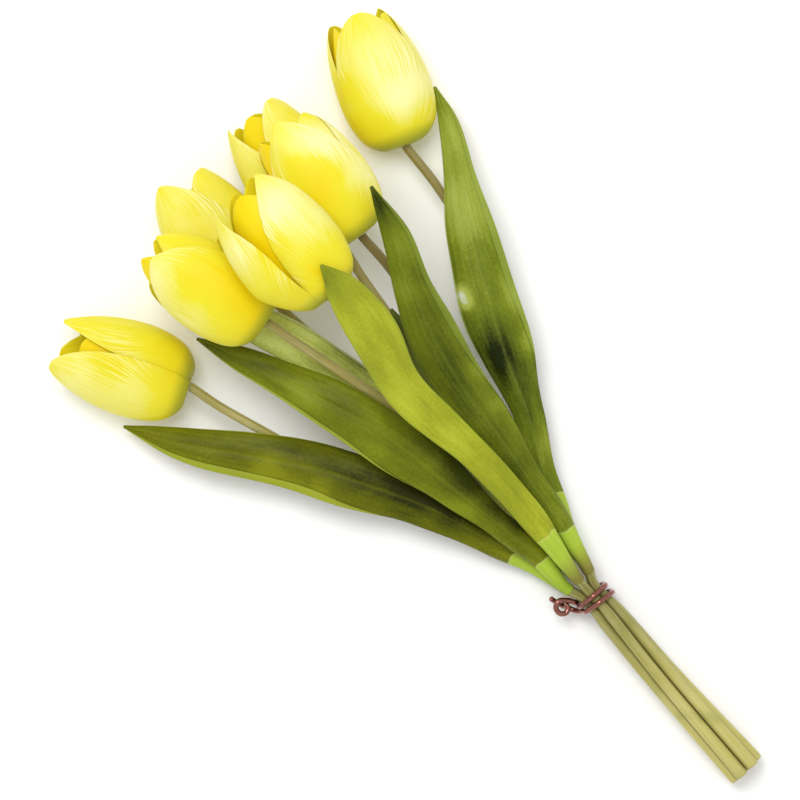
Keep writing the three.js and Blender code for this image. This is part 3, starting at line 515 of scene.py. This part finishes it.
def leaf_skin(leaf, lip, root, deep, body, pale, rim, **shape):
    """Waxy leaf. The blade goes from deep green over its body colour to a pale wax bloom, by soft
    patches, mostly painted shade where neighbours lie over it and painted sheen where it is paler,
    a mottle of about 8 mm, a fine speckle of about 0.7 mm and faint veins 1 mm apart. A dark line of
    painted shade along the crease sets off the paler rim, the palest spot is a painted glint, and the
    lime sheath turns to the root colour at its foot."""
    material, tree, shader = new_material(f"waxy_leaf_{leaf}", Roughness=0.42, Subsurface_Weight=0.08,
                                          Specular_IOR_Level=0.08)
    shader.inputs["Subsurface Radius"].default_value = (0.001, 0.0015, 0.0003)
    spot = add_node(tree, "ShaderNodeTexCoord")
    place = add_node(tree, "ShaderNodeAttribute", attribute_name="place")
    split = add_node(tree, "ShaderNodeSeparateXYZ", {0: place.outputs["Vector"]})
    tone = add_node(tree, "ShaderNodeAttribute", attribute_name="tone")
    veins_at = add_node(tree, "ShaderNodeMapping", {0: place.outputs["Vector"], 1: (0, 0, leaf),
                                                    3: (11.0, 1.6, 0)})
    veins = add_node(tree, "ShaderNodeTexNoise", {"Vector": veins_at.outputs[0], "Scale": 1.0, "Detail": 4.0})
    mottle_at = add_node(tree, "ShaderNodeMapping", {0: place.outputs["Vector"], 1: (0, 0, leaf),
                                                     3: (1.6, 5.0, 0)})
    mottle = add_node(tree, "ShaderNodeTexNoise", {"Vector": mottle_at.outputs[0], "Scale": 1.0,
                                                   "Detail": 3.0})
    speckle = add_node(tree, "ShaderNodeTexNoise", {"Vector": spot.outputs["Object"], "Scale": 900.0,
                                                    "Detail": 2.0})
    shade = tone.outputs["Fac"]
    for pattern, strength in ((veins, 0.35), (mottle, 0.7), (speckle, 0.35)):
        shade = add_node(tree, "ShaderNodeMath", {0: pattern.outputs["Fac"], 1: strength, 2: shade},
                         operation="MULTIPLY_ADD").outputs[0]
    dark = add_node(tree, "ShaderNodeMapRange", {0: shade, 1: 0.7, 2: 1.38})
    light = add_node(tree, "ShaderNodeMapRange", {0: shade, 1: 1.3, 2: 1.9})
    deepened = add_node(tree, "ShaderNodeMix", {0: dark.outputs[0], 6: linear(deep), 7: linear(body)},
                        data_type="RGBA")
    bloomed = add_node(tree, "ShaderNodeMix", {0: light.outputs[0], 6: deepened.outputs[2], 7: linear(pale)},
                       data_type="RGBA")
    # Painted glint: the highest tone, the small spot among leaf 5's patches, turns near white.
    painted_glint = add_node(tree, "ShaderNodeMapRange", {0: shade, 1: 2.3, 2: 3.2, 3: 0.0, 4: 0.8})
    glinted = add_node(tree, "ShaderNodeMix", {0: painted_glint.outputs[0], 6: bloomed.outputs[2],
                                               7: linear("#dde3d4")}, data_type="RGBA")
    rib = add_node(tree, "ShaderNodeMath", {0: split.outputs["X"]}, operation="ABSOLUTE")
    ribbed = add_node(tree, "ShaderNodeMapRange", {0: rib.outputs[0], 1: 0.02, 2: 0.09, 3: 0.12, 4: 0.0},
                      interpolation_type="SMOOTHSTEP")
    middle = add_node(tree, "ShaderNodeMix", {0: ribbed.outputs[0], 6: glinted.outputs[2], 7: linear(pale)},
                      data_type="RGBA")
    ragged = add_node(tree, "ShaderNodeMath", {0: veins.outputs["Fac"], 1: 0.06, 2: split.outputs["Z"]},
                      operation="MULTIPLY_ADD")
    rolled = add_node(tree, "ShaderNodeMapRange", {0: ragged.outputs[0], 1: 1.03, 2: 1.1, 3: 0.0, 4: 0.6},
                      interpolation_type="SMOOTHSTEP")
    rimmed = add_node(tree, "ShaderNodeMix", {0: rolled.outputs[0], 6: middle.outputs[2], 7: linear(rim)},
                      data_type="RGBA")
    # Painted shade: a dark line along the crease, where shade falls in it.
    off = add_node(tree, "ShaderNodeMath", {0: ragged.outputs[0], 1: 1.03}, operation="SUBTRACT")
    beside = add_node(tree, "ShaderNodeMath", {0: off.outputs[0]}, operation="ABSOLUTE")
    line = add_node(tree, "ShaderNodeMapRange", {0: beside.outputs[0], 1: 0.0, 2: 0.045, 3: 0.45, 4: 0.0},
                    interpolation_type="SMOOTHSTEP")
    crease_shaded = add_node(tree, "ShaderNodeMix", {0: line.outputs[0], 6: rimmed.outputs[2], 7: linear(deep)},
                       data_type="RGBA")
    lime = add_node(tree, "ShaderNodeMix", {0: veins.outputs["Fac"], 6: linear("#8fa92e"),
                                            7: linear("#b9cf4b")}, data_type="RGBA")
    foot = add_node(tree, "ShaderNodeMapRange", {0: split.outputs["Y"], 1: 0.11, 2: 0.22})
    rooted = add_node(tree, "ShaderNodeMix", {0: foot.outputs[0], 6: linear(root), 7: lime.outputs[2]},
                      data_type="RGBA")
    top = lip * MM * 10
    sheath = add_node(tree, "ShaderNodeMapRange", {0: split.outputs["Y"], 1: top - 0.004, 2: top + 0.004})
    joined = add_node(tree, "ShaderNodeMix", {0: sheath.outputs[0], 6: rooted.outputs[2],
                                              7: crease_shaded.outputs[2]}, data_type="RGBA")
    near_lip = add_node(tree, "ShaderNodeMath", {0: split.outputs["Y"], 1: top, 2: 0.004},
                        operation="COMPARE")
    lip_tint = add_node(tree, "ShaderNodeMath", {0: near_lip.outputs[0], 1: 0.3}, operation="MULTIPLY")
    lipped = add_node(tree, "ShaderNodeMix", {0: lip_tint.outputs[0], 6: joined.outputs[2],
                                              7: linear("#cfdb86")}, data_type="RGBA")
    bump = add_node(tree, "ShaderNodeBump", {"Height": shade, "Distance": 0.0001, "Strength": 0.4})
    tree.links.new(lipped.outputs[2], shader.inputs["Base Color"])
    tree.links.new(bump.outputs[0], shader.inputs["Normal"])
    return material


for leaf, shape in LEAVES.items():
    make_piece(f"tulip_leaf_{leaf}", [leaf_blade(leaf, **shape)], leaf_skin(leaf, **shape), f"leaf_{leaf}")

# Blooms
# A closed cup of six smooth petals: three outer ones and, in their gaps, three inner ones. They grow
# from one small disc, overlap at their edges and are thickest along the middle.
PETAL_THICK = 0.55
PETAL_PROFILE = [
    (2.2, 0.6), (8.5, -0.3), (14, 3.2), (17.4, 8.6), (19.4, 17), (19.8, 26), (18.8, 35.5), (16.8, 44),
    (14.2, 51), (11.3, 57.4)]
PETAL_HALF_ANGLE = math.radians(64)
PETAL_OVERLAP = 0.6
FRONT_LAYER = -0.35
INNER_LAYER = 2.7
NEAR_LAYER = 1.3
BLOOM_FLATTENING = 0.85
# Heights, from and to, over which a petal leans out above its base and at its tip.
BASE_LEAN = (2, 20)
TIP_LEAN = (28, 58)
GROOVE_DEPTH = 0.16
GROOVE_SHARE = 0.12
EDGE_WAVE = 0.15
EDGE_RIDGE = 0.05
FOOT_TONE = 0.3
# Inner faces are painted this much deeper gold, as the shade inside the cup.
INSIDE_SHADE_TONE = 0.5
# How one petal differs from the next: its turn round the bloom, depth of its layer, how far its right
# edge is set out and its left edge in, width and length against the full ones, point from 0, round,
# to 1, how far it leans out above its base and further at its tip, and how much deeper gold it is
# painted, as the shade inside the cup.
PETAL = dict(layer=0, overlap=PETAL_OVERLAP, width=1, length=1, point=0.2, out=0, tip=0, shade_gold=0.0)
FRONT_PETAL = PETAL | dict(layer=FRONT_LAYER, overlap=0)
TUCKED_PETAL = PETAL | dict(overlap=0)
INNER_PETAL = PETAL | dict(layer=INNER_LAYER, shade_gold=0.85)
BLOOM_PETALS = {
    1: [FRONT_PETAL | dict(turn=-50, point=0), PETAL | dict(turn=70, width=0.94, point=0.4),
        TUCKED_PETAL | dict(turn=190, length=0.97), INNER_PETAL | dict(turn=8, length=0.84),
        INNER_PETAL | dict(turn=130, length=0.9), INNER_PETAL | dict(turn=250, length=0.9)],
    2: [FRONT_PETAL | dict(turn=-18, width=1.08, length=0.92, point=0.45),
        PETAL | dict(turn=100, length=0.66, point=0), TUCKED_PETAL | dict(turn=220, length=0.86, point=0),
        INNER_PETAL | dict(turn=30, point=0.7, shade_gold=0.15), INNER_PETAL | dict(turn=160),
        INNER_PETAL | dict(turn=318, tip=1.5)],
    3: [FRONT_PETAL | dict(turn=38, width=0.95, point=0.65), PETAL | dict(turn=155),
        TUCKED_PETAL | dict(turn=275, point=0.7, out=4.7),
        INNER_PETAL | dict(turn=-22, length=0.96, out=1.8),
        INNER_PETAL | dict(turn=95), INNER_PETAL | dict(turn=215)],
    4: [FRONT_PETAL | dict(turn=-4, point=0.6), PETAL | dict(turn=116, length=0.9),
        TUCKED_PETAL | dict(turn=236, length=0.94),
        INNER_PETAL | dict(turn=56, layer=NEAR_LAYER, length=0.94, shade_gold=0.2),
        INNER_PETAL | dict(turn=176, length=0.94),
        INNER_PETAL | dict(turn=292, layer=NEAR_LAYER, length=0.94, point=0, tip=1.5)],
    5: [FRONT_PETAL | dict(turn=0, point=0), PETAL | dict(turn=118),
        TUCKED_PETAL | dict(turn=240, point=0, tip=1.5),
        INNER_PETAL | dict(turn=74, layer=NEAR_LAYER, length=0.95, shade_gold=0.2), INNER_PETAL | dict(turn=180),
        INNER_PETAL | dict(turn=282, layer=1.0, length=0.965, point=0, shade_gold=0.7)],
    6: [FRONT_PETAL | dict(turn=-30, point=0.3), PETAL | dict(turn=58, length=0.92, point=0),
        TUCKED_PETAL | dict(turn=195, length=0.9), INNER_PETAL | dict(turn=15, length=0.86),
        INNER_PETAL | dict(turn=135, length=0.84), INNER_PETAL | dict(turn=255, length=0.84)],
    7: [FRONT_PETAL | dict(turn=52, point=0.1, tip=2), PETAL | dict(turn=172),
        TUCKED_PETAL | dict(turn=292, point=0.7), INNER_PETAL | dict(turn=-8),
        INNER_PETAL | dict(turn=112), INNER_PETAL | dict(turn=232)],
}
# Soft patches of each bloom's outer faces, as x, y, spread and change of tone: deeper gold ones are
# painted shade, paler ones painted highlight.
BLOOM_SHADE_AND_HIGHLIGHT_PATCHES = {
    1: [(-60, 192, 11, 0.4), (-79, 213, 9, 0.35), (-58, 204, 10, 0.15), (-80, 196, 12, -0.3),
        (-92, 216, 12, -0.35), (-74, 236, 9, 0.1)],
    2: [(-13, 200, 12, 0.7), (-27, 211, 9, 0.5), (-20, 187, 9, 0.5), (-38, 222, 12, -0.4),
        (-40, 200, 8, -0.2), (-30, 188, 7, -0.15)],
    3: [(4, 197, 7, 0.4), (10, 178, 5, 0.5), (-8, 206, 9, -0.35), (19, 208, 10, -0.7), (23, 192, 8, -0.3)],
    4: [(40, 206, 8, 0.6), (37, 215, 7, 0.4), (33, 200, 8, 0.5), (48, 216, 12, -0.7), (54, 194, 9, -0.4)],
    5: [(84, 206, 10, -0.6), (92, 222, 14, -0.5), (74, 206, 6, 0.3), (90, 194, 7, 0.15),
        (98, 206, 8, -0.3), (72, 226, 8, 0.4), (66, 214, 6, 0.35), (64, 200, 6, 0.2)],
    6: [(-12, 240, 10, -0.15)],
    7: [(40, 246, 10, -0.2), (22, 236, 8, -0.15)],
}
LOWEST_PETAL = 0.36
RECEPTACLE_RADIUS = 4.3
RECEPTACLE_TOP = 5.2
PETAL_ROWS = 56
PETAL_COLUMNS = 32


def plain_way(points, t):
    """Points at t on the uniform Catmull-Rom curve: tangents are half the chord of the neighbours."""
    points = np.asarray(points, float)
    last = len(points) - 1
    place = np.clip(t, 0, 1) * last
    span = np.minimum(place.astype(int), last - 1)
    w = (place - span)[:, None]
    a, b, c, d = (points[np.clip(span + k, 0, last)] for k in (-1, 0, 1, 2))
    enter = (c - a) / 2
    leave = (d - b) / 2
    return b + enter * w + (3 * (c - b) - 2 * enter - leave) * w**2 + (2 * (b - c) + enter + leave) * w**3


def petal(bloom, seed, turn, layer, overlap, width, length, point, out, tip, shade_gold):
    """Part of the egg that the profile sweeps, flattened across. Its half angle is the full one times
    (1 - rise^(5 - 1.5 point))^(0.5 + 0.5 point), which narrows to the tip. One edge is shifted out and
    the other in, by the overlap, and the petal leans out by two smooth steps along its height. A
    shallow groove runs along the middle, and the side edges wave and have fine ridges. Its marks are
    u across, the rise from foot to tip, the petal's seed and the tone."""
    base, axis, right, up = bloom_frame(bloom)
    v = length * np.sin(np.linspace(0, np.pi / 2, PETAL_ROWS))
    u = -np.cos(np.linspace(0, np.pi, PETAL_COLUMNS + 1))[None, :]
    line = plain_way(PETAL_PROFILE, v)
    slope = directions(line)
    height = line[:, 1:]
    rise = np.clip(height / (height[-1] + 0.2), 0, 1)
    narrowing = (1 - rise ** (5 - 1.5 * point) * 0.995) ** (0.5 + 0.5 * point)
    half = PETAL_HALF_ANGLE * width * np.maximum(narrowing, 0.05)
    groove = GROOVE_DEPTH * np.exp(-((u / GROOVE_SHARE) ** 2)) * smoothstep(0.05, 0.3, rise)
    wave = EDGE_WAVE * np.abs(u) ** 3 * np.sin(9 * rise + 2.5 * seed + u) * smoothstep(0.3, 0.7, rise)
    ridges = EDGE_RIDGE * np.sin(15 * u / (rise + 0.12) ** 0.7 + 9 * seed) * smoothstep(0.35, 0.9, np.abs(u))
    wave = wave + ridges
    shift = overlap * u - layer - groove + wave
    lean = out * smoothstep(*BASE_LEAN, height) + tip * smoothstep(*TIP_LEAN, height)
    r = line[:, :1] + lean + slope[:, 1:] * shift
    z = height - slope[:, :1] * shift
    phi = math.radians(turn) + half * u
    side = np.sin(phi)[..., None] * right + (np.cos(phi) * BLOOM_FLATTENING)[..., None] * up
    middle = base + z[..., None] * axis + r[..., None] * side
    middle[..., 2] = np.maximum(middle[..., 2], LOWEST_PETAL)
    # Tone carries painted shade: deeper gold on shaded inner petals and patches, beside paler painted
    # highlight patches.
    tone = shade_gold + FOOT_TONE * np.exp(-((rise / 0.3) ** 2)) + soft_patches(middle, BLOOM_SHADE_AND_HIGHLIGHT_PATCHES[bloom])
    outside = np.stack(np.broadcast_arrays(u, rise, seed, tone), axis=-1)
    inside = np.stack(np.broadcast_arrays(u, rise, seed, INSIDE_SHADE_TONE), axis=-1)
    thickness = PETAL_THICK * (1 - 0.5 * np.abs(u) ** 3)
    return closed_blade(middle, thickness / 2, outside, inside)


def receptacle(bloom):
    """The disc that the petals grow from: its profile turned round the bloom's axis."""
    base, axis, right, up = bloom_frame(bloom)
    profile = np.array([
        (0.2, RECEPTACLE_FOOT), (RECEPTACLE_RADIUS * 0.55, RECEPTACLE_FOOT),
        (RECEPTACLE_RADIUS * 0.85, RECEPTACLE_FOOT + 0.35), (RECEPTACLE_RADIUS, RECEPTACLE_FOOT + 1.6),
        (RECEPTACLE_RADIUS, RECEPTACLE_TOP - 0.5), (RECEPTACLE_RADIUS - 0.5, RECEPTACLE_TOP),
        (0.2, RECEPTACLE_TOP)])
    angle = np.arange(32) / 32 * 2 * np.pi
    side = np.sin(angle)[:, None] * right + np.cos(angle)[:, None] * up
    grid = base + profile[:, None, 1:] * axis + profile[:, None, :1] * side[None]
    return grid, np.array([0.0, 0.02, 0.5, 0.3])


def petal_skin():
    """Satin petal. Its tone goes from pale lemon over yellow to gold, by soft patches of painted shade
    and painted highlight, a deeper gold painted as shade on the inner petals and inner faces, a cloud
    of about 15 mm and fine streaks that leave the middle and run out to the side edges, where they
    are strongest and near white. They are 1 mm apart, coarser than real ones so that they show. The
    foot is green where it joins the stem."""
    material, tree, shader = new_material("satin_petal", Roughness=0.42, Subsurface_Weight=0.2,
                                          Subsurface_Scale=0.003, Specular_IOR_Level=0.12)
    shader.inputs["Subsurface Radius"].default_value = (1.0, 0.95, 0.25)
    place = add_node(tree, "ShaderNodeAttribute", attribute_name="place")
    tone = add_node(tree, "ShaderNodeAttribute", attribute_name="tone")
    split = add_node(tree, "ShaderNodeSeparateXYZ", {0: place.outputs["Vector"]})
    raised = add_node(tree, "ShaderNodeMath", {0: split.outputs["Y"], 1: 0.12}, operation="ADD")
    fan = add_node(tree, "ShaderNodeMath", {0: raised.outputs[0], 1: 0.7}, operation="POWER")
    vein = add_node(tree, "ShaderNodeMath", {0: split.outputs["X"], 1: fan.outputs[0]}, operation="DIVIDE")
    vein_at = add_node(tree, "ShaderNodeCombineXYZ",
                       {0: vein.outputs[0], 1: split.outputs["Y"], 2: split.outputs["Z"]})
    stretched = add_node(tree, "ShaderNodeMapping", {0: vein_at.outputs[0], 3: (22.0, 2.6, 23.0)})
    streaks = add_node(tree, "ShaderNodeTexNoise", {"Vector": stretched.outputs[0], "Scale": 1.0,
                                                    "Detail": 3.0})
    wide = add_node(tree, "ShaderNodeMapping", {0: place.outputs["Vector"], 3: (1.5, 3.5, 11.0)})
    cloud = add_node(tree, "ShaderNodeTexNoise", {"Vector": wide.outputs[0], "Scale": 1.0, "Detail": 2.0})
    off_middle = add_node(tree, "ShaderNodeMath", {0: split.outputs["X"]}, operation="ABSOLUTE")
    toward_edge = add_node(tree, "ShaderNodeMapRange", {0: off_middle.outputs[0], 1: 0.3, 2: 0.95, 3: 0.3,
                                                        4: 1.0})
    gathered = add_node(tree, "ShaderNodeMapRange", {0: cloud.outputs["Fac"], 1: 0.4, 2: 0.62, 3: 0.15,
                                                     4: 1.0})
    mask = add_node(tree, "ShaderNodeMath", {0: toward_edge.outputs[0], 1: gathered.outputs[0]},
                    operation="MULTIPLY")
    bright = add_node(tree, "ShaderNodeMapRange", {0: streaks.outputs["Fac"], 1: 0.34, 2: 0.62, 3: 0.25,
                                                   4: -0.7})
    feather = add_node(tree, "ShaderNodeMath", {0: bright.outputs[0], 1: mask.outputs[0],
                                                2: tone.outputs["Fac"]}, operation="MULTIPLY_ADD")
    clouded = add_node(tree, "ShaderNodeMath", {0: cloud.outputs["Fac"], 1: 0.7, 2: feather.outputs[0]},
                       operation="MULTIPLY_ADD")
    grown = add_node(tree, "ShaderNodeMapRange", {0: clouded.outputs[0], 1: -0.35, 2: 0.35})
    gilt = add_node(tree, "ShaderNodeMapRange", {0: clouded.outputs[0], 1: 0.35, 2: 1.25})
    lemon = add_node(tree, "ShaderNodeMix", {0: grown.outputs[0], 6: linear("#f6f2a4"), 7: linear("#e6da30")},
                     data_type="RGBA")
    golden = add_node(tree, "ShaderNodeMix", {0: gilt.outputs[0], 6: lemon.outputs[2], 7: linear("#eacb02")},
                      data_type="RGBA")
    foot = add_node(tree, "ShaderNodeMapRange", {0: split.outputs["Y"], 1: 0.0, 2: 0.11, 3: 0.7, 4: 0.0},
                    interpolation_type="SMOOTHSTEP")
    greened = add_node(tree, "ShaderNodeMix", {0: foot.outputs[0], 6: golden.outputs[2],
                                               7: linear("#8f9a2c")}, data_type="RGBA")
    bump = add_node(tree, "ShaderNodeBump", {"Height": streaks.outputs["Fac"], "Distance": 0.0002,
                                             "Strength": 0.4})
    tree.links.new(greened.outputs[2], shader.inputs["Base Color"])
    tree.links.new(bump.outputs[0], shader.inputs["Normal"])
    return material


satin_petal = petal_skin()
for bloom, petals in BLOOM_PETALS.items():
    skins = [petal(bloom, 0.61 * bloom + 0.17 * k, **shape) for k, shape in enumerate(petals)]
    make_piece(f"tulip_bloom_{bloom}", [receptacle(bloom)] + skins, satin_petal, f"bloom_{bloom}")

# Pistils and stamens
# Inside each bloom a three-lobed green pistil stands on the disc that the petals grow from, with six
# stamens round it whose powdery anthers are swollen near the top.
STIGMA_LOBE = 0.45
STAMEN_RING = 3.0
STAMEN_FOOT = 0.5
STAMEN_LEAN = math.radians(9)
# Radius and height from the foot up.
PISTIL_PROFILE = [
    (0.15, 0), (4.1, 0), (3.9, 0.4), (2.2, 1.8), (1.8, 3.5), (1.7, 9), (1.6, 15), (1.6, 17.4), (2.3, 18.3),
    (2.2, 19), (0.15, 19)]
STAMEN_PROFILE = [
    (0.05, 0), (0.5, 0.1), (0.45, 4), (0.42, 8), (0.8, 9), (0.98, 10.2), (0.9, 12.5), (0.65, 15),
    (0.25, 15.9), (0.05, 16)]
PISTIL_MARKS = np.zeros(4)
STAMEN_MARKS = np.array([1.0, 0.0, 0.0, 0.0])


def organs(bloom):
    """Profiles turned round their own axes. The pistil's radius swells by 1 + lobe cos(3 angle) at the
    stigma, and each stamen leans out from its place on the ring."""
    base, axis, right, up = bloom_frame(bloom)
    foot = RECEPTACLE_TOP + FIT_GAP
    angle = np.arange(24) / 24 * 2 * np.pi
    profile = np.array(PISTIL_PROFILE)
    swell = 1 + STIGMA_LOBE * smoothstep(16.5, 18, profile[:, 1:]) * np.cos(3 * angle)
    side = np.sin(angle)[:, None] * right + np.cos(angle)[:, None] * up
    pistil = base + (profile[:, None, 1:] + foot) * axis + (profile[:, :1] * swell)[..., None] * side
    skins = [(pistil, PISTIL_MARKS)]
    line = np.array(STAMEN_PROFILE)
    for k in range(6):
        way = math.radians(60 * k + 30)
        out = math.sin(way) * right + math.cos(way) * up
        tall = math.cos(STAMEN_LEAN) * axis + math.sin(STAMEN_LEAN) * out
        wide = math.cos(STAMEN_LEAN) * out - math.sin(STAMEN_LEAN) * axis
        ring = np.sin(angle[::2])[:, None] * np.cross(wide, tall) + np.cos(angle[::2])[:, None] * wide
        root = base + (foot + STAMEN_FOOT) * axis + STAMEN_RING * out
        skins.append((root + line[:, None, 1:] * tall + line[:, None, :1] * ring, STAMEN_MARKS))
    return skins


def organ_skin():
    """Matt pistil and anther: pale green with a powdery grain of about 0.3 mm."""
    material, tree, shader = new_material("powdery_organ", Roughness=0.7)
    place = add_node(tree, "ShaderNodeTexCoord")
    powder = add_node(tree, "ShaderNodeTexNoise", {"Vector": place.outputs["Object"], "Scale": 1500.0})
    part = add_node(tree, "ShaderNodeAttribute", attribute_name="place")
    split = add_node(tree, "ShaderNodeSeparateXYZ", {0: part.outputs["Vector"]})
    kind = add_node(tree, "ShaderNodeMix", {0: split.outputs["X"], 6: linear("#b9bd58"),
                                            7: linear("#c9b44a")}, data_type="RGBA")
    grain = add_node(tree, "ShaderNodeMapRange", {0: powder.outputs["Fac"], 1: 0.4, 2: 0.7, 3: 0.0, 4: 0.5})
    mixed = add_node(tree, "ShaderNodeMix", {0: grain.outputs[0], 6: kind.outputs[2], 7: linear("#dcd98e")},
                     data_type="RGBA")
    tree.links.new(mixed.outputs[2], shader.inputs["Base Color"])
    return material


powdery_organ = organ_skin()
for bloom in BLOOM_PLACES:
    make_piece(f"tulip_organs_{bloom}", organs(bloom), powdery_organ, f"pistil_{bloom}")

# Tie wire
# One craft wire with a glossy brown coat, bent by hand: two turns round the stems, one end left
# straight and the other curled beside the bundle.
WIRE_RADIUS = 1.18
WIRE_AXIS_HEIGHT = 10
WIRE_LOOP = 7.7
WIRE_LOOP_LOBE = 0.25
WIRE_TURNS = [0, 180, 360, 540, 720]
WIRE_STEPS = [-1.6, -4.2, 1.4, 0.2, 3.8]
STRAIGHT_END = [(-13.6, 12.3, 9.2), (-13, 9.2, 7.4), (-11.4, 4.8, 6.4), (-9.6, 1, 7)]
CURLED_END = [(-9.3, 7, 11), (-12, 9.1, 12.2), (-14.7, 7.9, 12.2), (-15.2, 5, 11.8), (-13.2, 3.3, 11.3),
              (-10.9, 4.4, 11.1), (-10.9, 6.3, 11.3)]
WIRE_SIDES = 20
WIRE_RINGS = 700
WIRE_CAP_RINGS = 5


def wire_points():
    """The straight end, two turns as the circle r = loop - lobe (1 + cos 6 angle), which goes in between
    the outer stems and steps along them, and the curled end."""
    turns = []
    for turned in range(0, 721, 30):
        angle = math.radians(180 - turned)
        r = WIRE_LOOP - WIRE_LOOP_LOBE * (1 + math.cos(6 * angle))
        y = np.interp(turned, WIRE_TURNS, WIRE_STEPS)
        turns.append((r * math.cos(angle), y, WIRE_AXIS_HEIGHT + r * math.sin(angle)))
    return STRAIGHT_END + turns + CURLED_END


def wire_skin():
    """Enamelled craft wire: brown with lighter scuffs of about 1.5 mm, under a clear gloss that takes
    small bright lights."""
    material, tree, shader = new_material("brown_enamel", Roughness=0.15, Metallic=0.85, Coat_Weight=1.0,
                                          Coat_Roughness=0.04, Coat_IOR=1.65)
    place = add_node(tree, "ShaderNodeTexCoord")
    scuffs = add_node(tree, "ShaderNodeTexNoise", {"Vector": place.outputs["Object"], "Scale": 700.0,
                                                   "Detail": 4.0})
    worn = add_node(tree, "ShaderNodeMapRange", {0: scuffs.outputs["Fac"], 1: 0.4, 2: 0.7})
    body = add_node(tree, "ShaderNodeMix", {0: worn.outputs[0], 6: linear("#7a3622"), 7: linear("#98523d")},
                    data_type="RGBA")
    tree.links.new(body.outputs[2], shader.inputs["Base Color"])
    return material


way = smooth_way(wire_points(), np.linspace(0, 1, WIRE_RINGS))
# Each end closes as a round cap: radius times the square root of 1 - (1 - ring / cap rings)².
ends = np.minimum(np.arange(WIRE_RINGS), np.arange(WIRE_RINGS)[::-1])
radius = WIRE_RADIUS * np.sqrt(1 - (1 - np.clip((ends + 1) / WIRE_CAP_RINGS, 0, 1)) ** 2)
make_piece("wire_tie", [tube(way, radius, WIRE_SIDES)], wire_skin(), "tie_wire")
